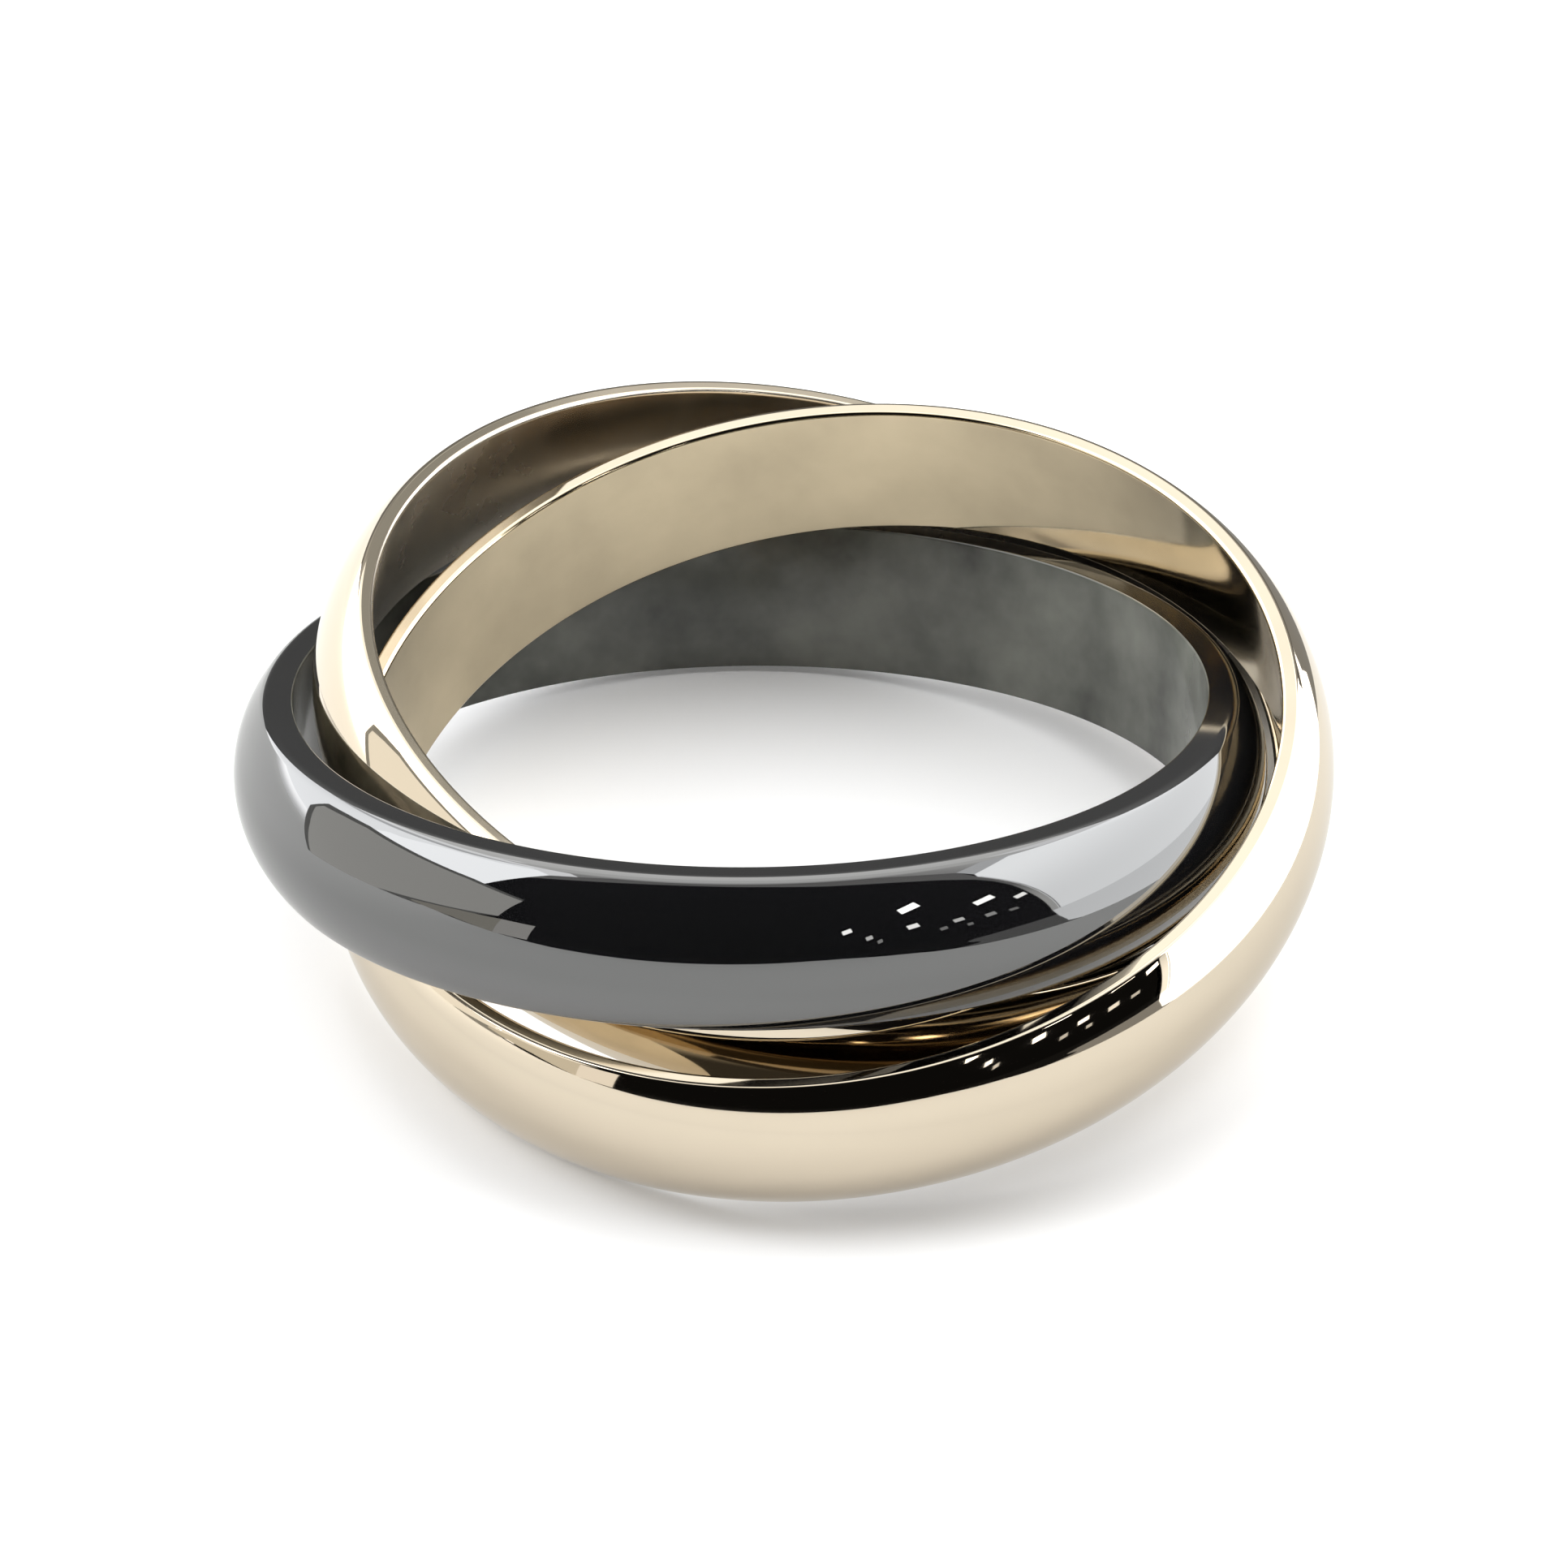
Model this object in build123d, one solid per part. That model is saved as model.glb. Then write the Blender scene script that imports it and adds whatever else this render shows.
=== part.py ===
"""Ring of three interlinked bands, lying on a flat surface.

One band is ceramic and two are white gold. Each band passes through the other two, so the three
hold together with nothing joining them. Lengths are in millimetres and angles in degrees.
+Z is up, and the origin is on the surface, under the middle of the ring's bounding box.
"""

import math
import os

from build123d import *

# Sections. Every band is flat inside, has a flat side face beside the bore, and is domed outside.
gold_bore = 19.0
gold_width = 3.37
gold_wall = 0.91
gold_side_face = 0.32
gold_dome_round = 0.14
gold_bore_round = 0.10
ceramic_bore_step = 0.24
ceramic_width = 3.28
ceramic_wall = 1.25
ceramic_side_face = 0.59
ceramic_dome_round = 0.30
ceramic_bore_round = 0.05

# The bands lean on one another just enough to keep this much room at their closest points.
band_gap = 0.08

# How each band lies: how far it leans, toward which side it is low, how far its centre is off
# the middle of the ring as a share of the gold bore, and in which direction.
LIE = {
    "ceramic_band": {"lean_deg": 13.8, "low_side_deg": 93.0, "slide_share": 0.050, "slide_deg": 189.2},
    "white_gold_band_left": {"lean_deg": 12.6, "low_side_deg": -12.4, "slide_share": 0.048,
                             "slide_deg": 72.3},
    "white_gold_band_front": {"lean_deg": 11.7, "low_side_deg": -131.1, "slide_share": 0.051,
                              "slide_deg": -47.2},
}


class Section:
    """Cross-section of a band, with r measured from the band's axis and z along it."""

    def __init__(self, bore, width, wall, side_face, dome_round, bore_round):
        self.bore_radius = bore / 2
        self.half_width = width / 2
        self.crown_radius = self.bore_radius + wall
        self.rim_radius = self.bore_radius + side_face
        rise = wall - side_face
        dome = (self.half_width**2 + rise**2) / (2 * rise)
        dome_r = self.crown_radius - dome
        self.dome_round = dome_round
        self.bore_round = bore_round

        # The round between dome and side face touches both, inside them.
        round_z = self.half_width - dome_round
        round_r = dome_r + math.sqrt((dome - dome_round)**2 - round_z**2)
        meet = math.atan2(round_z, round_r - dome_r)

        # Upper half of the outline as arcs: centre r, centre z, radius, first and last direction.
        self.arcs = [
            (dome_r, 0.0, dome, 0.0, meet),
            (round_r, round_z, dome_round, meet, math.pi / 2),
            (self.bore_radius + bore_round, self.half_width - bore_round, bore_round,
             math.pi / 2, math.pi),
        ]

    def face(self):
        """The section as a face in the XZ plane."""
        inner, rim, crown, half = self.bore_radius, self.rim_radius, self.crown_radius, self.half_width
        outline = Polyline((rim, half), (inner, half), (inner, -half), (rim, -half))
        outline += ThreePointArc((rim, -half), (crown, 0), (rim, half))
        sketch = make_face(outline)
        sketch = fillet(sketch.vertices().group_by(Axis.X)[-1], self.dome_round)
        sketch = fillet(sketch.vertices().group_by(Axis.X)[0], self.bore_round)
        return Plane.XZ * sketch

    def reach(self, lean):
        """How far the tilted band reaches below its centre."""
        down = math.pi / 2 - lean
        for r, z, radius, first, last in self.arcs:
            if first <= down <= last:
                return r * math.cos(down) + z * math.sin(down) + radius
        return self.crown_radius

    def distance(self, r, z):
        """Distance from a point to the section, below zero inside it."""
        furthest = -self.crown_radius
        for arc_r, arc_z, radius, first, last in self.arcs:
            dr = r - arc_r
            dz = abs(z) - arc_z
            direction = math.atan2(dz, dr)
            if direction < -math.pi / 2:
                direction += 2 * math.pi
            direction = min(max(direction, first), last)
            furthest = max(furthest, dr * math.cos(direction) + dz * math.sin(direction) - radius)
        return furthest

    def points(self, steps=6):
        """Points on the outline, those of the arcs and their mirror images."""
        found = []
        for r, z, radius, first, last in self.arcs:
            for step in range(steps + 1):
                direction = first + (last - first) * step / steps
                across = r + radius * math.cos(direction)
                along = z + radius * math.sin(direction)
                found += [(across, along), (across, -along)]
        return found


def dot(a, b):
    return a[0] * b[0] + a[1] * b[1] + a[2] * b[2]


def from_centre(centre, steps):
    """The point reached from a centre by (distance, direction) steps."""
    return tuple(centre[i] + sum(distance * way[i] for distance, way in steps) for i in range(3))


class Band:
    """A section turned about a leaning axis, with its lowest point on the surface."""

    def __init__(self, section, lie, lean_scale):
        lean = math.radians(lie["lean_deg"] * lean_scale)
        low = math.radians(lie["low_side_deg"])
        side = math.radians(lie["slide_deg"])
        offset = lie["slide_share"] * gold_bore
        self.section = section
        self.centre = (offset * math.cos(side), offset * math.sin(side), section.reach(lean))
        self.axis = (math.sin(lean) * math.cos(low), math.sin(lean) * math.sin(low), math.cos(lean))
        self.downhill = (math.cos(lean) * math.cos(low), math.cos(lean) * math.sin(low),
                         -math.sin(lean))
        self.level = (-math.sin(low), math.cos(low), 0.0)

    def solid(self):
        ring = revolve(self.section.face(), Axis.Z).solid()
        return Plane(origin=self.centre, x_dir=self.downhill, z_dir=self.axis).location * ring

    def room_at(self, other, angle):
        """Smallest distance from this band's section at one angle to the other band."""
        outward = from_centre((0, 0, 0), [(math.cos(angle), self.downhill), (math.sin(angle), self.level)])
        start = from_centre(self.centre, [(-1, other.centre)])
        room = []
        for r, z in self.section.points():
            offset = from_centre(start, [(r, outward), (z, self.axis)])
            along = dot(offset, other.axis)
            across = math.sqrt(max(dot(offset, offset) - along**2, 0))
            room.append(other.section.distance(across, along))
        return min(room)

    def room(self, other, steps=72):
        """Smallest distance to another band, from coarse angles and then finer ones round the best."""
        step = 2 * math.pi / steps
        best = min((self.room_at(other, step * index), step * index) for index in range(steps))
        for _ in range(3):
            step /= 3
            near = [best[1] + step * index for index in range(-3, 4)]
            best = min((self.room_at(other, angle), angle) for angle in near)
        return best[0]


def lay_bands(lean_scale):
    """The three bands at one share of their stated leans."""
    gold = Section(gold_bore, gold_width, gold_wall, gold_side_face, gold_dome_round, gold_bore_round)
    ceramic = Section(gold_bore - ceramic_bore_step, ceramic_width, ceramic_wall, ceramic_side_face,
                      ceramic_dome_round, ceramic_bore_round)
    return {name: Band(ceramic if name == "ceramic_band" else gold, lie, lean_scale)
            for name, lie in LIE.items()}


def smallest_room(lean_scale):
    """Smallest distance between any two bands."""
    bands = list(lay_bands(lean_scale).values())
    return min(a.room(b) for a in bands for b in bands if a is not b)


def settled_bands(low_scale=0.5, high_scale=2.0, rounds=12):
    """The bands as they lie. More lean opens them, so the scale of the leans is found by halving."""
    for _ in range(rounds):
        scale = (low_scale + high_scale) / 2
        if smallest_room(scale) < band_gap:
            low_scale = scale
        else:
            high_scale = scale
    return lay_bands(high_scale)


solids = {name: band.solid() for name, band in settled_bands().items()}
boxes = [solid.bounding_box() for solid in solids.values()]
middle_x = (min(box.min.X for box in boxes) + max(box.max.X for box in boxes)) / 2
middle_y = (min(box.min.Y for box in boxes) + max(box.max.Y for box in boxes)) / 2
to_origin = Location((-middle_x, -middle_y, -min(box.min.Z for box in boxes)))

os.makedirs("parts", exist_ok=True)
for name, solid in solids.items():
    export_step(to_origin * solid, f"parts/{name}.step")
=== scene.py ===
"""Looks for the three-band rolling ring: polished bands, a pale floor and a light tent round them."""

import math

import bpy
import numpy as np
from mathutils import Matrix, Vector


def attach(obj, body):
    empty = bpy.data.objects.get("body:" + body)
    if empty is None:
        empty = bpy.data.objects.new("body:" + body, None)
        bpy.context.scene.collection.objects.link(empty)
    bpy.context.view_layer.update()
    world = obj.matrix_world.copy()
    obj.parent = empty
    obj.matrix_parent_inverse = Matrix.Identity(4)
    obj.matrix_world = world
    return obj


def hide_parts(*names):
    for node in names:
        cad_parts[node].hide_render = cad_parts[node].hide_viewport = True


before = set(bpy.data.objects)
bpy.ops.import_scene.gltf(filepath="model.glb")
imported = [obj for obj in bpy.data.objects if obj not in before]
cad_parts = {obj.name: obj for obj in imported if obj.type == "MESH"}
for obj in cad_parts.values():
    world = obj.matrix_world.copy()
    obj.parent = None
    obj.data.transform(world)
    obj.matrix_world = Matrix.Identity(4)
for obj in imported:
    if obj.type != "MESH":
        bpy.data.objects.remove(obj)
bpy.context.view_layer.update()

MM = 0.001
UM = 0.000001

# Cross-sections of the bands, in millimetres, as the solids have them.
GOLD = {"bore": 19.0, "width": 3.37, "wall": 0.91, "side": 0.32, "dome_round": 0.14, "bore_round": 0.10}
CERAMIC = {"bore": 18.76, "width": 3.28, "wall": 1.25, "side": 0.59, "dome_round": 0.30,
           "bore_round": 0.05}
BANDS = {
    "ceramic_band": {"body": "ceramic", "slot": "black_ceramic", "section": CERAMIC},
    "white_gold_band_left": {"body": "gold_left", "slot": "white_gold", "section": GOLD},
    "white_gold_band_front": {"body": "gold_front", "slot": "white_gold", "section": GOLD},
}

# How finely the bands are turned: steps round a band, and steps on each arc of half a section.
TURN_STEPS = 384
DOME_STEPS = 16
DOME_ROUND_STEPS = 6
BORE_ROUND_STEPS = 7

# Material slots of a band. The bore faces inward by more than this share of a unit direction, and the
# side faces along the axis by more than that one.
DOME_SLOT, BORE_SLOT, SIDE_SLOT = 0, 1, 2
FACES_IN = 0.5
FACES_ALONG = 0.95

# The point attribute that holds each point's place in its band's own axes.
OWN_PLACE = "own_place"

# Camera, from the fit of the photographed outlines. Angles in degrees, distances in millimetres.
CAMERA_AIM = (0.035, 0.2445, 3.0)
CAMERA_DISTANCE = 183.52
CAMERA_ELEVATION = 36.312
CAMERA_ROLL = 0.389
FOCAL_PIXELS = 10927.8
PHOTO_PIXELS = 1932
SENSOR_MM = 36.0
CLIP_NEAR, CLIP_FAR = 10.0, 10000.0

# Wear on the bands. A scale is in patches or streaks to a metre.
PATCH_SCALE = 420.0
PATCH_DETAIL = 4.0
WAVE_SCALE = 900.0
WAVE_DETAIL = 1.0
STREAKS_ROUND = 60.0
STREAKS_ACROSS = 30000.0
STREAK_DETAIL = 3.0
STREAK_ROUGHNESS = 0.6
NOISE_LOW, NOISE_HIGH = 0.3, 0.7


# Materials


def new_material(name):
    """A material with only an output, and what is needed to build it up."""
    material = bpy.data.materials.new(name)
    material.use_nodes = True
    nodes = material.node_tree.nodes
    nodes.clear()
    output = nodes.new("ShaderNodeOutputMaterial")
    return material, nodes, material.node_tree.links, output


def own_place(nodes):
    """Place on a band in the band's own axes, with z along its axis, in metres."""
    place = nodes.new("ShaderNodeAttribute")
    place.attribute_name = OWN_PLACE
    return place.outputs["Vector"]


def vector_step(nodes, links, source, operation, value, result="Vector"):
    """What one operation with a fixed vector makes of a place."""
    step = nodes.new("ShaderNodeVectorMath")
    step.operation = operation
    step.inputs[1].default_value = value
    links.new(source, step.inputs[0])
    return step.outputs[result]


def spread(nodes, links, source, low, high, from_low=NOISE_LOW, from_high=NOISE_HIGH, how="LINEAR"):
    """A value mapped from one range to another, and held at the ends."""
    ramp = nodes.new("ShaderNodeMapRange")
    ramp.interpolation_type = how
    ramp.inputs["From Min"].default_value = from_low
    ramp.inputs["From Max"].default_value = from_high
    ramp.inputs["To Min"].default_value = low
    ramp.inputs["To Max"].default_value = high
    links.new(source, ramp.inputs["Value"])
    return ramp.outputs["Result"]


def noise(nodes, links, place, scale, detail, dimensions="4D"):
    """A noise texture over a place. In four dimensions its input W moves it on."""
    texture = nodes.new("ShaderNodeTexNoise")
    texture.noise_dimensions = dimensions
    texture.inputs["Scale"].default_value = scale
    texture.inputs["Detail"].default_value = detail
    links.new(place, texture.inputs["Vector"])
    return texture


def streaks(nodes, links):
    """Noise in streaks that run round a band: slow round it, quick across it."""
    place = own_place(nodes)
    stretched = vector_step(nodes, links, place, "MULTIPLY", (STREAKS_ROUND, STREAKS_ROUND, STREAKS_ACROSS))
    flat = vector_step(nodes, links, place, "MULTIPLY", (1.0, 1.0, 0.0))
    radius = vector_step(nodes, links, flat, "DISTANCE", (0.0, 0.0, 0.0), "Value")
    across = nodes.new("ShaderNodeMath")
    across.operation = "MULTIPLY"
    across.inputs[1].default_value = STREAKS_ACROSS
    links.new(radius, across.inputs[0])
    texture = noise(nodes, links, stretched, 1.0, STREAK_DETAIL)
    texture.inputs["Roughness"].default_value = STREAK_ROUGHNESS
    links.new(across.outputs["Value"], texture.inputs["W"])
    return texture.outputs["Fac"]


def relief(nodes, links, height, depth):
    """A bump from a noise value, with its depth in metres."""
    bump = nodes.new("ShaderNodeBump")
    bump.inputs["Strength"].default_value = 1.0
    bump.inputs["Distance"].default_value = depth
    links.new(height, bump.inputs["Height"])
    return bump


def band_material(name, colour, kind, roughness, streak_depth, wave_depth, mottle=0.0, seed=0.0):
    """A worked surface: fine marks round the band, a slight waviness, and patches where it is duller.

    Depths are in micrometres. Over the patches the roughness goes from its first value to its second,
    and the colour darkens by the share that mottle says. The seed sets where the patches lie.
    """
    material, nodes, links, output = new_material(name)
    shader = nodes.new("ShaderNodeBsdfPrincipled")
    for socket, value in kind.items():
        shader.inputs[socket].default_value = value
    links.new(shader.outputs["BSDF"], output.inputs["Surface"])

    place = own_place(nodes)
    patches = noise(nodes, links, place, PATCH_SCALE, PATCH_DETAIL)
    patches.inputs["W"].default_value = seed
    links.new(spread(nodes, links, patches.outputs["Fac"], *roughness), shader.inputs["Roughness"])

    tint = nodes.new("ShaderNodeMix")
    tint.data_type = "RGBA"
    tint.inputs["A"].default_value = (*colour, 1.0)
    tint.inputs["B"].default_value = (*[channel * (1.0 - mottle) for channel in colour], 1.0)
    links.new(spread(nodes, links, patches.outputs["Fac"], 0.0, 1.0), tint.inputs["Factor"])
    links.new(tint.outputs["Result"], shader.inputs["Base Color"])

    waves = noise(nodes, links, place, WAVE_SCALE, WAVE_DETAIL, "3D")
    waviness = relief(nodes, links, waves.outputs["Fac"], wave_depth * UM)
    marks = relief(nodes, links, streaks(nodes, links), streak_depth * UM)
    links.new(waviness.outputs["Normal"], marks.inputs["Normal"])
    links.new(marks.outputs["Normal"], shader.inputs["Normal"])
    return material


METAL = {"Metallic": 1.0, "IOR": 1.5}
POLISHED_CERAMIC = {"Metallic": 0.0, "IOR": 2.42}
SIDE_CERAMIC = {"Metallic": 0.0, "IOR": 2.4}
WORN_CERAMIC = {"Metallic": 0.0, "IOR": 1.5}

GOLD_POLISHED = (0.725, 0.63, 0.50)
# Both bores are the same white gold. The left bore's colour is painted shade, darker and greyer, and the
# front bore's is painted light, lighter and warmer.
GOLD_BORE_LEFT_SHADED = (0.62, 0.56, 0.47)
GOLD_BORE_FRONT_LIT = (0.83, 0.70, 0.49)
GOLD_EDGE = (0.515, 0.455, 0.36)
CERAMIC_BLACK = (0.006, 0.006, 0.0065)
# The ceramic bore is black ceramic. Its grey is a painted sheen that stands in for the blurred reflection of
# the pale floor, and its mottling is wear and smudging.
CERAMIC_BORE_SHEEN_AND_WEAR = (0.16, 0.165, 0.146)

gold_polished = band_material("white_gold_polished", GOLD_POLISHED, METAL, (0.015, 0.04),
                              streak_depth=0.02, wave_depth=0.5, mottle=0.03)
gold_edge = band_material("white_gold_edge", GOLD_EDGE, METAL, (0.02, 0.06),
                          streak_depth=0.04, wave_depth=0.8, mottle=0.10)

# The materials of each band in the order of its slots: dome, bore and side faces.
FINISH = {
    "ceramic_band": (
        band_material("black_ceramic_polished", CERAMIC_BLACK, POLISHED_CERAMIC, (0.01, 0.03),
                      streak_depth=0.02, wave_depth=0.5),
        # Bore: a painted grey sheen with mottled wear, over low specular.
        band_material("black_ceramic_bore", CERAMIC_BORE_SHEEN_AND_WEAR, WORN_CERAMIC, (0.06, 0.16),
                      streak_depth=0.08, wave_depth=1.0, mottle=0.8, seed=3.0),
        band_material("black_ceramic_edge", CERAMIC_BLACK, SIDE_CERAMIC, (0.03, 0.1),
                      streak_depth=0.03, wave_depth=0.8, mottle=0.3)),
    "white_gold_band_left": (
        gold_polished,
        # Painted shade: a darker, greyer copy of the gold.
        band_material("white_gold_bore_left", GOLD_BORE_LEFT_SHADED, METAL, (0.16, 0.32),
                      streak_depth=0.08, wave_depth=1.0, mottle=0.3, seed=2.0),
        gold_edge),
    "white_gold_band_front": (
        gold_polished,
        # Painted light: a lighter, warmer copy of the gold.
        band_material("white_gold_bore_front", GOLD_BORE_FRONT_LIT, METAL, (0.05, 0.12),
                      streak_depth=0.08, wave_depth=1.0, mottle=0.2, seed=1.0),
        gold_edge),
}


# Bands


def section_points(size):
    """Outline of a cross-section as (r, z, outward r, outward z), once round, in millimetres."""
    bore = size["bore"] / 2
    half = size["width"] / 2
    rise = size["wall"] - size["side"]
    dome = (half**2 + rise**2) / (2 * rise)
    dome_r = bore + size["wall"] - dome
    small = size["dome_round"]
    inner = size["bore_round"]
    round_z = half - small
    round_r = dome_r + math.sqrt((dome - small)**2 - round_z**2)
    meet = math.atan2(round_z, round_r - dome_r)
    arcs = [
        (dome_r, 0.0, dome, 0.0, meet, DOME_STEPS),
        (round_r, round_z, small, meet, math.pi / 2, DOME_ROUND_STEPS),
        (bore + inner, half - inner, inner, math.pi / 2, math.pi, BORE_ROUND_STEPS),
    ]
    upper = []
    for r, z, radius, first, last, steps in arcs:
        for step in range(steps + 1):
            way = first + (last - first) * step / steps
            upper.append((r + radius * math.cos(way), z + radius * math.sin(way),
                          math.cos(way), math.sin(way)))
    lower = [(r, -z, out_r, -out_z) for r, z, out_r, out_z in reversed(upper)]
    return upper + lower[:-1]


def section_slot(start, end):
    """Material slot of the stretch between two outline points, from the way that it faces."""
    out_r = (start[2] + end[2]) / 2
    out_z = (start[3] + end[3]) / 2
    if -out_r > FACES_IN:
        return BORE_SLOT
    if abs(out_z) > FACES_ALONG:
        return SIDE_SLOT
    return DOME_SLOT


def volumes(corners):
    """Six times the signed volume between the origin and each triangle."""
    return np.einsum("ij,ij->i", corners[:, 0], np.cross(corners[:, 1], corners[:, 2]))


def lie_of(solid):
    """Centre and upward axis of a solid band, from its volume: it spreads least along its axis."""
    mesh = solid.data
    mesh.calc_loop_triangles()
    points = np.array([vertex.co for vertex in mesh.vertices], dtype=float)
    corners = points[np.array([triangle.vertices for triangle in mesh.loop_triangles])]
    share = volumes(corners)
    centre = (share[:, None] * corners.sum(axis=1)).sum(axis=0) / (4 * share.sum())

    corners = corners - centre
    share = volumes(corners)
    whole = corners.sum(axis=1)
    moments = np.einsum("n,nki,nkj->ij", share, corners, corners)
    moments += np.einsum("n,ni,nj->ij", share, whole, whole)
    axis = Vector(np.linalg.eigh(moments)[1][:, 0])
    return Vector(centre), axis if axis.z > 0 else -axis


def turned_mesh(name, size, centre, axis):
    """A smooth turned band about an axis, whose points keep their own place in its axes."""
    down = Vector((0, 0, -1))
    downhill = (down - axis * down.dot(axis)).normalized()
    lie = Matrix((downhill, axis.cross(downhill), axis)).transposed()
    outline = section_points(size)
    count = len(outline)
    stretches = [(index, (index + 1) % count) for index in range(count)]
    points, own_places, normals, faces, slots = [], [], [], [], []
    for step in range(TURN_STEPS):
        angle = 2 * math.pi * step / TURN_STEPS
        cos, sin = math.cos(angle), math.sin(angle)
        for r, z, out_r, out_z in outline:
            own = Vector((r * cos, r * sin, z)) * MM
            own_places.extend(own)
            points.append(centre + lie @ own)
            normals.append(lie @ Vector((out_r * cos, out_r * sin, out_z)))
        here = step * count
        ahead = (step + 1) % TURN_STEPS * count
        for index, after in stretches:
            faces.append((here + index, ahead + index, ahead + after, here + after))
            slots.append(section_slot(outline[index], outline[after]))
    mesh = bpy.data.meshes.new(name)
    mesh.from_pydata(points, [], faces)
    mesh.attributes.new(OWN_PLACE, "FLOAT_VECTOR", "POINT").data.foreach_set("vector", own_places)
    mesh.update()
    mesh.polygons.foreach_set("use_smooth", [True] * len(faces))
    mesh.polygons.foreach_set("material_index", slots)
    for material in FINISH[name]:
        mesh.materials.append(material)
    mesh.normals_split_custom_set_from_vertices(normals)
    return mesh


def add_object(name, data):
    """A new object in the scene, at the origin, from its mesh or camera data."""
    piece = bpy.data.objects.new(name, data)
    bpy.context.scene.collection.objects.link(piece)
    return piece


def build_band(name, data):
    """One band as a turned mesh where its solid lies, in the solid's place and on its body."""
    centre, axis = lie_of(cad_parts[name])
    piece = add_object(name + "_finish", turned_mesh(name, data["section"], centre, axis))
    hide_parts(name)
    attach(piece, data["body"])


for band_name, band_data in BANDS.items():
    build_band(band_name, band_data)


# Floor and tent


def sheet(name, corners, material, seen="everywhere"):
    """A flat stage piece through the given corners: seen everywhere, as light only, or in reflections."""
    mesh = bpy.data.meshes.new(name)
    mesh.from_pydata(corners, [], [tuple(range(len(corners)))])
    mesh.materials.append(material)
    piece = add_object(name, mesh)
    if seen != "everywhere":
        piece.visible_camera = False
        piece.visible_shadow = False
        piece.visible_transmission = False
        piece.visible_diffuse = seen == "as light"
        piece.visible_glossy = seen == "in reflections"
    return piece


def mirrored(name, corners, material):
    """A sheet that only the bands' reflections see."""
    sheet(name, corners, material, "in reflections")


def lighting(name, corners, material):
    """A sheet that only lights the matt floor."""
    sheet(name, corners, material, "as light")


def on_x(x, outline):
    """Corners at one x, from an outline of (y, z)."""
    return [(x, y, z) for y, z in outline]


def on_y(y, outline):
    """Corners at one y, from an outline of (x, z)."""
    return [(x, y, z) for x, z in outline]


def roof_strip(left, right, front, back_left, back_right, drop=0.0):
    """Corners of a strip of roof between two x, with its front and its back's two ends as (y, z)."""
    return [(left, front[0], front[1] - drop), (right, front[0], front[1] - drop),
            (right, back_right[0], back_right[1] - drop), (left, back_left[0], back_left[1] - drop)]


def glow(name, colour, first, last=None, along=(0.0, 0.0, 0.0), reach=(0.0, 1.0)):
    """A light surface, evenly bright or changing smoothly between two strengths along a direction."""
    material, nodes, links, output = new_material(name)
    light = nodes.new("ShaderNodeEmission")
    light.inputs["Color"].default_value = (*colour, 1.0)
    light.inputs["Strength"].default_value = first
    if last is not None:
        place = nodes.new("ShaderNodeTexCoord").outputs["Object"]
        way = vector_step(nodes, links, place, "DOT_PRODUCT", along, "Value")
        links.new(spread(nodes, links, way, first, last, *reach, "SMOOTHSTEP"), light.inputs["Strength"])
    links.new(light.outputs["Emission"], output.inputs["Surface"])
    return material


# Where the matt floor changes, in metres: painted shade darkens it toward the back right, and a painted glow
# stands in for the light that the bands throw round them, less inside their bores, and for more light toward
# the back left.
SHADE_REACH = (0.008, 0.014)
BOUNCE_MIDDLE = (-0.0025, -0.0025, 0.0)
BOUNCE_REACH = (0.0095, 0.0155)
BORE_REACH = (0.008, 0.0095)
BORE_SHARE = 0.3
LIT_REACH = (0.012, 0.030)
LIT_SHARE = 0.6


def matt_surface(name, colour, shaded, lift, bounce=0.0):
    """A matt surface with painted shade toward the back right and a painted glow for the light that the
    bands throw back on it.
    """
    material, nodes, links, output = new_material(name)
    place = nodes.new("ShaderNodeTexCoord").outputs["Object"]

    behind = vector_step(nodes, links, place, "DOT_PRODUCT", (1.0, 1.0, 0.0), "Value")
    shade = nodes.new("ShaderNodeMix")
    shade.data_type = "RGBA"
    shade.inputs["A"].default_value = (*colour, 1.0)
    shade.inputs["B"].default_value = (*shaded, 1.0)
    links.new(spread(nodes, links, behind, 0.0, 1.0, *SHADE_REACH), shade.inputs["Factor"])
    shader = nodes.new("ShaderNodeBsdfDiffuse")
    links.new(shade.outputs["Result"], shader.inputs["Color"])

    near = vector_step(nodes, links, place, "DISTANCE", BOUNCE_MIDDLE, "Value")
    from_origin = vector_step(nodes, links, place, "DISTANCE", (0.0, 0.0, 0.0), "Value")
    back_left = vector_step(nodes, links, place, "DOT_PRODUCT", (-1.0, 1.0, 0.0), "Value")
    thrown = nodes.new("ShaderNodeMath")
    thrown.operation = "MULTIPLY_ADD"
    links.new(spread(nodes, links, near, bounce, 0.0, *BOUNCE_REACH), thrown.inputs[0])
    links.new(spread(nodes, links, from_origin, BORE_SHARE, 1.0, *BORE_REACH), thrown.inputs[1])
    links.new(spread(nodes, links, back_left, lift, lift + LIT_SHARE * bounce, *LIT_REACH), thrown.inputs[2])
    glimmer = nodes.new("ShaderNodeEmission")
    glimmer.inputs["Color"].default_value = (1.0, 1.0, 1.0, 1.0)
    links.new(thrown.outputs["Value"], glimmer.inputs["Strength"])

    both = nodes.new("ShaderNodeAddShader")
    links.new(shader.outputs["BSDF"], both.inputs[0])
    links.new(glimmer.outputs["Emission"], both.inputs[1])
    links.new(both.outputs["Shader"], output.inputs["Surface"])
    return material


def toward(azimuth, height, distance):
    """The point that far away at two angles: azimuth from the camera's side toward +X, and height."""
    turn = math.radians(azimuth)
    rise = math.radians(height)
    return (distance * math.cos(rise) * math.sin(turn), -distance * math.cos(rise) * math.cos(turn),
            distance * math.sin(rise))


ALONG_Y = (0.0, 1.0, 0.0)
UP = (0.0, 0.0, 1.0)

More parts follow.
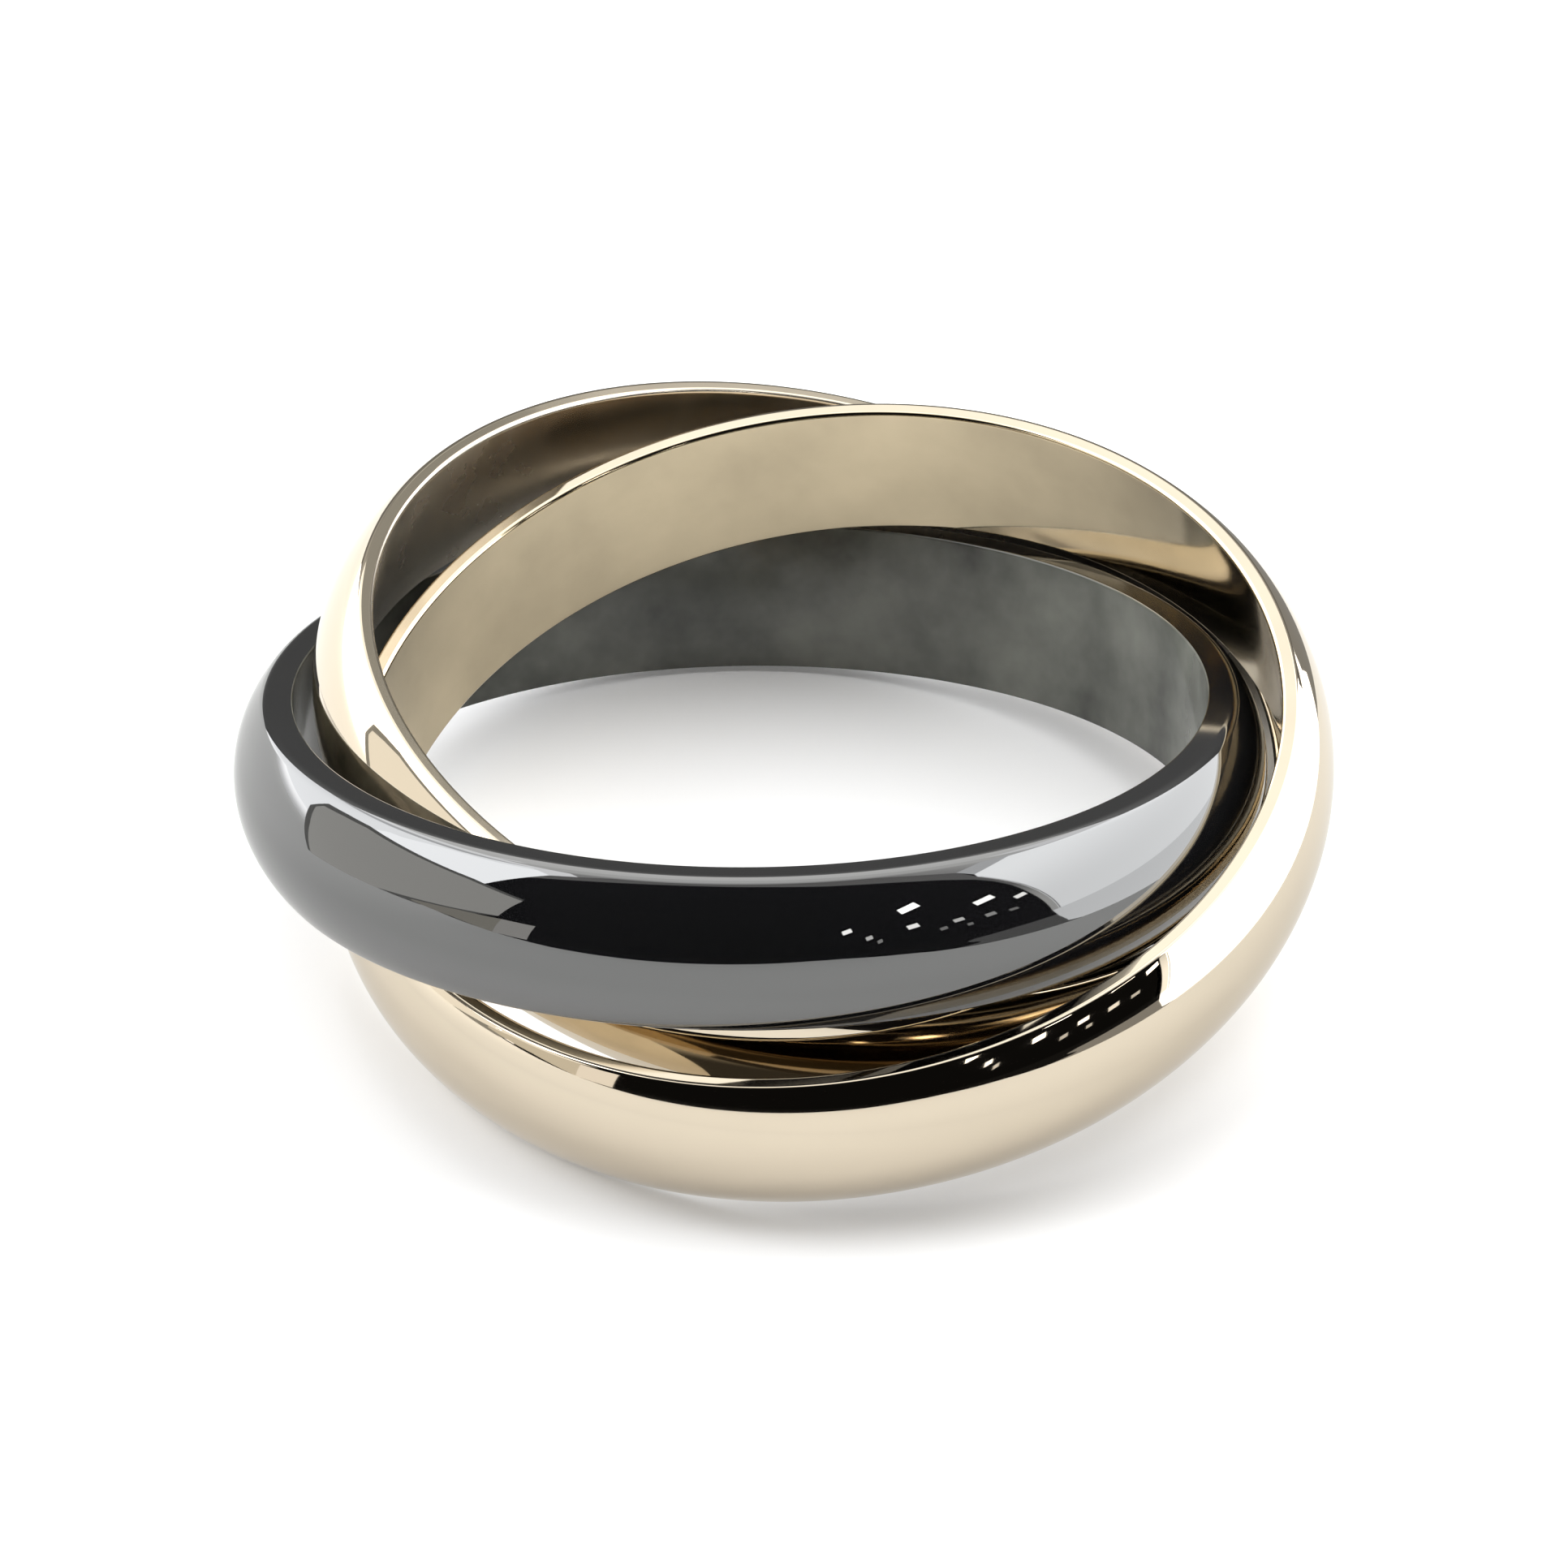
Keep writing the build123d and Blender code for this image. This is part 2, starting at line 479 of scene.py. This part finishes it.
# Colours of the light.
PURE_WHITE = (1.0, 1.0, 1.0)
WARM_WHITE = (1.0, 1.0, 0.98)
WARMER_WHITE = (1.0, 1.0, 0.97)
RIM_WHITE = (1.0, 1.0, 0.95)
COOL_WHITE = (0.97, 0.985, 1.0)
COOL_BASE = (0.975, 0.99, 1.0)
COOL_EDGE = (0.985, 0.99, 1.0)
TENT_LIGHT = (0.985, 0.992, 1.0)
LAMP_WHITE = (1.0, 0.99, 0.96)
CARD_GREY = (1.0, 0.985, 0.93)
LEAF_CREAM = (1.0, 0.95, 0.82)
LEAF_PALE = (1.0, 0.97, 0.92)

# The floor as the camera sees it is overexposed; the bands mirror it at its own brightness.
FLOOR_HALF = 0.115
FLOOR_Z = -0.00003
floor_corners = [(x * FLOOR_HALF, y * FLOOR_HALF, FLOOR_Z) for x, y in [(-1, -1), (1, -1), (1, 1), (-1, 1)]]
floor = sheet("floor", floor_corners,
              matt_surface("pale_floor", colour=(0.80, 0.80, 0.80), shaded=(0.81, 0.81, 0.81), lift=0.12))
floor.visible_glossy = False


def floor_piece(name, outline, material, height=-0.01):
    """A part of the floor that only the bands see, by its outline and height in millimetres."""
    mirrored(name, [(x * MM, y * MM, height * MM) for x, y in outline], material)


# Outlines of the mirrored floor share these points, in millimetres.
FAR = 1500
PAD_RIGHT = [(26.5, 16.5), (26.5, -14.5)]
PAD_BACK_LEFT = [(-35, 63), (-22, 39), (-14.5, 28), (-7.5, 19)]
BASE_FRONT = [(28.5, -17), (52, -28)]
BASE_BACK = [(33, 30), (60, 62), (310, 420)]

floor_piece("pad_mirrored",
            [*PAD_RIGHT, (26.5, -30), (28, -42), (31, -55), (31, -95), (22, -102), (-5, -81), (-23, -66),
             (-43, -54), (-300, -50), (-FAR, -50), (-FAR, FAR), (-800, FAR), *PAD_BACK_LEFT],
            matt_surface("pale_pad", colour=(0.525, 0.525, 0.512), shaded=(0.50, 0.50, 0.488),
                         lift=0.07, bounce=0.20))
floor_piece("base_right",
            [*PAD_RIGHT, *BASE_FRONT, (262, -120), (310, -120), *reversed(BASE_BACK)],
            glow("bright_base", COOL_BASE, 2.6))
floor_piece("base_behind",
            [PAD_BACK_LEFT[-1], PAD_RIGHT[0], *BASE_BACK, (310, FAR), (-800, FAR), *PAD_BACK_LEFT[:-1]],
            glow("dim_base", WARMER_WHITE, 0.29))
floor_piece("base_front_grey",
            [PAD_RIGHT[1], *BASE_FRONT, (66, -34.2), (70, -52), (57, -58), (45, -50), (40, -44.5), (34, -36),
             (31, -34), (27.2, -36), (26.5, -30)],
            glow("grey_base", WARM_WHITE, 0.3))
floor_piece("shaded_floor",
            [(-2.2, -4), (-1.8, -8), (-1.8, -9.4), (2.4, -9.4), (4.2, -7), (5, -4)],
            glow("shaded_floor", WARM_WHITE, 0.05, 0.55, ALONG_Y, (-0.0065, -0.004)), height=-0.006)
floor_piece("base_front_dark",
            [(-FAR, -FAR), (FAR, -FAR), (FAR, -20), (-FAR, -20)],
            glow("dark_base", PURE_WHITE, 0.01), height=-5)

# A light tent stands round the ring, open toward the camera, with a dark room in front of it. Its side
# walls are equally far left and right, and its roof falls from the front to the back. All in metres.
SIDE, FRONT, MIDDLE, BACK_LEFT, BACK_RIGHT = 0.31, -0.12, 0.10, 0.496, 0.321
TOP_FRONT, TOP_MIDDLE, TOP_BACK = 0.42, 0.37, 0.33
TOP_RIGHT_FRONT, TOP_RIGHT_MIDDLE = 0.35, 0.345
BELOW_FLOOR = -0.001
OFF_WALL = 0.001
ROOF_EDGE_LEFT, ROOF_FRONT_LEFT, ROOF_EDGE_RIGHT = -0.20, -0.25, 0.20
FOOT_TOP = 0.03
SEAM_DISTANCE = 0.36
ROOM_Y, ROOM_HALF, ROOM_TOP, ROOM_BOTTOM = -1.4, 3, 4, -0.01

# Points of the roof in (y, z), and the corners of the back wall.
ROOF_FRONT = (FRONT, TOP_FRONT)
ROOF_MIDDLE = (MIDDLE, TOP_MIDDLE)
ROOF_LEFT = (BACK_LEFT, TOP_BACK)
ROOF_RIGHT = (BACK_RIGHT, TOP_BACK)
BACK_WALL = [(-SIDE, BACK_LEFT, 0), (SIDE, BACK_RIGHT, 0), (SIDE, BACK_RIGHT, TOP_BACK),
             (-SIDE, BACK_LEFT, TOP_BACK)]

white_left = glow("tent_left", COOL_WHITE, 4.0, 3.4, ALONG_Y, (0.08, 0.42))
window_left = glow("tent_left_window", COOL_WHITE, 4.7)
upper_left = glow("tent_left_upper", COOL_WHITE, 1.9)
foot_left = glow("tent_left_foot", COOL_EDGE, 2.0, 4.5, UP, (0.0, FOOT_TOP))
white_right = glow("tent_right", COOL_BASE, 3.3, 4.2, UP, (0.05, 0.3))
dim_back = glow("tent_back", WARMER_WHITE, 0.17, 0.56, UP, (0.05, 0.36))
back_seam = glow("tent_back_seam", WARM_WHITE, 1.1)
white_roof = glow("tent_roof", WARM_WHITE, 0.95, 1.85, ALONG_Y, (-0.13, 0.0))
roof_rear = glow("tent_roof_rear", WARM_WHITE, 2.15)
roof_edge = glow("tent_roof_edge", COOL_EDGE, 3.3)
roof_edge_right = glow("tent_roof_edge_right", COOL_EDGE, 2.8)
frame_top = glow("tent_frame", WARMER_WHITE, 1.45, 0.45, UP, (0.05, 0.2))
frame_edge = glow("tent_frame_edge", WARM_WHITE, 0.8)
dark_room = glow("dark_room", PURE_WHITE, 0.005)

mirrored("tent_left_wall", on_x(-SIDE, [(FRONT, 0), (BACK_LEFT, 0), ROOF_LEFT, ROOF_MIDDLE, ROOF_FRONT]),
         white_left)
mirrored("tent_left_window",
         on_x(-SIDE + OFF_WALL, [(FRONT, 0), (0.080, 0), (0.082, 0.15), (0.075, 0.175), (0.06, 0.19),
                                 (0.03, 0.25), (-0.036, 0.33), (-0.09, TOP_FRONT), ROOF_FRONT]),
         window_left)
mirrored("tent_left_foot",
         on_x(-SIDE + 3 * OFF_WALL, [(FRONT, 0), (BACK_LEFT, 0), (BACK_LEFT, FOOT_TOP), (FRONT, FOOT_TOP)]),
         foot_left)
mirrored("tent_left_upper",
         on_x(-SIDE + 2 * OFF_WALL, [(BACK_LEFT, 0.27), (0.2, 0.27), (0.03, 0.30), (-0.036, 0.36),
                                     (-0.075, TOP_FRONT), (BACK_LEFT, TOP_FRONT)]),
         upper_left)
mirrored("tent_right_wall",
         on_x(SIDE, [(FRONT, BELOW_FLOOR), (BACK_RIGHT, BELOW_FLOOR), ROOF_RIGHT,
                     (MIDDLE, TOP_RIGHT_MIDDLE), (FRONT, TOP_RIGHT_FRONT)]),
         white_right)
mirrored("tent_right_upper",
         on_x(SIDE, [(FRONT, TOP_RIGHT_FRONT), (MIDDLE, TOP_RIGHT_MIDDLE), ROOF_RIGHT,
                     (BACK_RIGHT, TOP_FRONT), ROOF_FRONT]),
         upper_left)
mirrored("tent_back_wall", BACK_WALL, dim_back)
mirrored("tent_back_seam",
         [toward(azimuth, height, SEAM_DISTANCE)
          for azimuth, height in [(152, 33.5), (163, 36.4), (175, 36.6), (175, 33.5)]],
         back_seam)
mirrored("tent_roof", roof_strip(-SIDE, SIDE, ROOF_FRONT, ROOF_MIDDLE, ROOF_MIDDLE), white_roof)
mirrored("tent_roof_rear", roof_strip(-SIDE, SIDE, ROOF_MIDDLE, ROOF_LEFT, ROOF_RIGHT), roof_rear)
mirrored("tent_roof_left_edge",
         roof_strip(-SIDE, ROOF_EDGE_LEFT, ROOF_MIDDLE, ROOF_LEFT, ROOF_LEFT, 2 * OFF_WALL), roof_edge)
mirrored("tent_roof_left_front",
         roof_strip(-SIDE, ROOF_FRONT_LEFT, ROOF_FRONT, ROOF_MIDDLE, ROOF_MIDDLE, 2 * OFF_WALL), roof_edge)
mirrored("tent_roof_right_edge",
         roof_strip(ROOF_EDGE_RIGHT, SIDE, ROOF_MIDDLE, ROOF_RIGHT, ROOF_RIGHT, 2 * OFF_WALL),
         roof_edge_right)

# The front frame runs up its right post and along the top to the left. The post has a seam outside it.
POST_SEAM = [(0.285, 0.30), (0.290, 0.17)]
mirrored("tent_frame",
         on_y(FRONT, [(0.262, BELOW_FLOOR), (0.262, 0.10), (0.268, 0.17), (0.266, 0.22), (0.253, 0.262),
                      (0.212, 0.290), (0.147, 0.300), (0.068, 0.290), (-0.02, 0.305), (-0.115, 0.325),
                      (-0.234, 0.335), (-SIDE, 0.335), (-SIDE, TOP_FRONT), (SIDE, TOP_FRONT), *POST_SEAM,
                      (0.284, BELOW_FLOOR)]),
         frame_top)
mirrored("tent_frame_edge",
         on_y(FRONT + OFF_WALL, [(0.284, 0.0), *reversed(POST_SEAM), (0.290, 0.30), (0.295, 0.17),
                                 (0.289, 0.0)]),
         frame_edge)
mirrored("tent_front_right",
         on_y(FRONT, [(0.284, BELOW_FLOOR), (SIDE, BELOW_FLOOR), (SIDE, TOP_RIGHT_FRONT), *POST_SEAM]),
         white_right)
mirrored("room_wall",
         on_y(ROOM_Y, [(-ROOM_HALF, ROOM_BOTTOM), (ROOM_HALF, ROOM_BOTTOM), (ROOM_HALF, ROOM_TOP),
                       (-ROOM_HALF, ROOM_TOP)]),
         dark_room)

# The same tent as a light on the matt floor.
WINDOW_BACK = 0.08
light_roof = glow("light_roof", TENT_LIGHT, 1.6, 3.0, ALONG_Y, (-0.13, 0.0))
lighting("light_left_front",
         on_x(-SIDE, [(FRONT, 0), (WINDOW_BACK, 0), (WINDOW_BACK, TOP_MIDDLE), ROOF_FRONT]),
         glow("light_left_front", TENT_LIGHT, 5.6))
lighting("light_left_back",
         on_x(-SIDE, [(WINDOW_BACK, 0), (BACK_LEFT, 0), ROOF_LEFT, (WINDOW_BACK, TOP_MIDDLE)]),
         glow("light_left_back", TENT_LIGHT, 4.0))
lighting("light_right", on_x(SIDE, [(FRONT, 0), (BACK_RIGHT, 0), ROOF_RIGHT, ROOF_MIDDLE, ROOF_FRONT]),
         glow("light_right", TENT_LIGHT, 4.7))
lighting("light_back", BACK_WALL, glow("light_back", TENT_LIGHT, 1.4))
lighting("light_roof", roof_strip(-SIDE, SIDE, ROOF_FRONT, ROOF_MIDDLE, ROOF_MIDDLE), light_roof)
lighting("light_roof_rear", roof_strip(-SIDE, SIDE, ROOF_MIDDLE, ROOF_LEFT, ROOF_RIGHT), light_roof)


def standing_strip(name, feet, lows, highs, material, shift=(0.0, 0.0)):
    """A folded upright strip over points on the floor, in millimetres, moved along the floor."""
    for index in range(len(feet) - 1):
        (x, y), (next_x, next_y) = feet[index], feet[index + 1]
        corners = [(x, y, lows[index]), (next_x, next_y, lows[index + 1]),
                   (next_x, next_y, highs[index + 1]), (x, y, highs[index])]
        mirrored(f"{name}_{index}",
                 [((px + shift[0]) * MM, (py + shift[1]) * MM, pz * MM) for px, py, pz in corners],
                 material)


# A grey card with a darker rim stands at the front left, and a folded leaf lies under it.
CARD_FEET = [(-26.8, 3.7), (-29.3, 2.6), (-33, 1), (-61, -11.4), (-110, -40), (-121, -87)]
RIM_SHIFT = (-0.35, 0.65)
standing_strip("grey_card", CARD_FEET, [9.5, 6.3, 0, 0, 8, 31], [11.0, 13.8, 17.4, 35.4, 68, 79],
               glow("grey_card", CARD_GREY, 1.18))
standing_strip("card_rim", CARD_FEET, [8.8, 5.3, 0, 0, 0, 29.5], [12.2, 15.0, 18.6, 37.5, 72.5, 83.5],
               glow("grey_card_rim", RIM_WHITE, 0.35), RIM_SHIFT)
standing_strip("card_leaf", [(-66, -23), (-66, -37), (-66, -52)], [3.1, 3, 0], [4.2, 11.5, 17.2],
               glow("card_leaf", LEAF_CREAM, 0.78))
standing_strip("card_leaf_end", [(-66, -52), (-66, -67)], [0, 0], [17.2, 20.8],
               glow("grey_card_pale", LEAF_PALE, 1.1))

# Small lamps hang in rows in the dark room. Each has the direction of its middle, half its length, how
# far its right end rises over the middle and half its thickness, in degrees, and its strength.
LAMP_DISTANCE = 1.3
LAMPS = [
    (39.9, 34.4, 3.1, 2.0, 2.1, 9.0),
    (56.5, 25.6, 2.9, 1.1, 1.7, 6.0),
    (64.0, 20.0, 1.6, 0.5, 1.3, 4.5),
    (36.4, 17.9, 1.4, 0.6, 1.8, 4.5),
    (46.6, 15.1, 1.3, 0.3, 1.4, 2.4),
    (53.8, 12.7, 1.3, 0.2, 1.4, 1.3),
    (59.2, 11.2, 1.1, 0.0, 1.0, 0.8),
    (42.2, 10.6, 0.9, 0.4, 1.3, 0.8),
    (48.1, 9.1, 0.7, 0.1, 1.1, 0.8),
    (21.7, 21.4, 1.2, 1.1, 1.8, 5.0),
    (25.8, 13.3, 0.8, 0.8, 1.7, 2.4),
    (27.7, 8.9, 0.6, 0.8, 1.5, 1.0),
]
for index, (azimuth, height, half, rise, thick, strength) in enumerate(LAMPS):
    ends = [(azimuth - half, height - rise - thick), (azimuth + half, height + rise - thick),
            (azimuth + half, height + rise + thick), (azimuth - half, height - rise + thick)]
    mirrored(f"lamp_{index}", [toward(*end, LAMP_DISTANCE) for end in ends],
             glow(f"lamp_light_{index}", LAMP_WHITE, strength))


# Light and view

# A white surround for the camera; the tent lights the scene.
world = bpy.data.worlds.new("white_surround")
world.use_nodes = True
world.node_tree.nodes["Background"].inputs["Color"].default_value = (1.0, 1.0, 1.0, 1.0)
world.node_tree.nodes["Background"].inputs["Strength"].default_value = 1.0
world.cycles_visibility.glossy = False
world.cycles_visibility.diffuse = False
bpy.context.scene.world = world

# The camera's own axes: right and up are turned about the view by the roll.
elevation = math.radians(CAMERA_ELEVATION)
roll = math.radians(CAMERA_ROLL)
level = Vector((1.0, 0.0, 0.0))
back = Vector((0.0, -math.cos(elevation), math.sin(elevation)))
upright = back.cross(level)
camera_right = level * math.cos(roll) + upright * math.sin(roll)
camera_up = upright * math.cos(roll) - level * math.sin(roll)
axes = Matrix((camera_right, camera_up, back)).transposed().to_4x4()

camera_data = bpy.data.cameras.new("camera")
camera_data.sensor_width = SENSOR_MM
camera_data.lens = FOCAL_PIXELS / PHOTO_PIXELS * SENSOR_MM
camera_data.clip_start = CLIP_NEAR * MM
camera_data.clip_end = CLIP_FAR * MM
camera = add_object("camera", camera_data)
camera.matrix_world = Matrix.Translation((Vector(CAMERA_AIM) + back * CAMERA_DISTANCE) * MM) @ axes
bpy.context.scene.camera = camera
bpy.context.scene.view_settings.view_transform = "Standard"
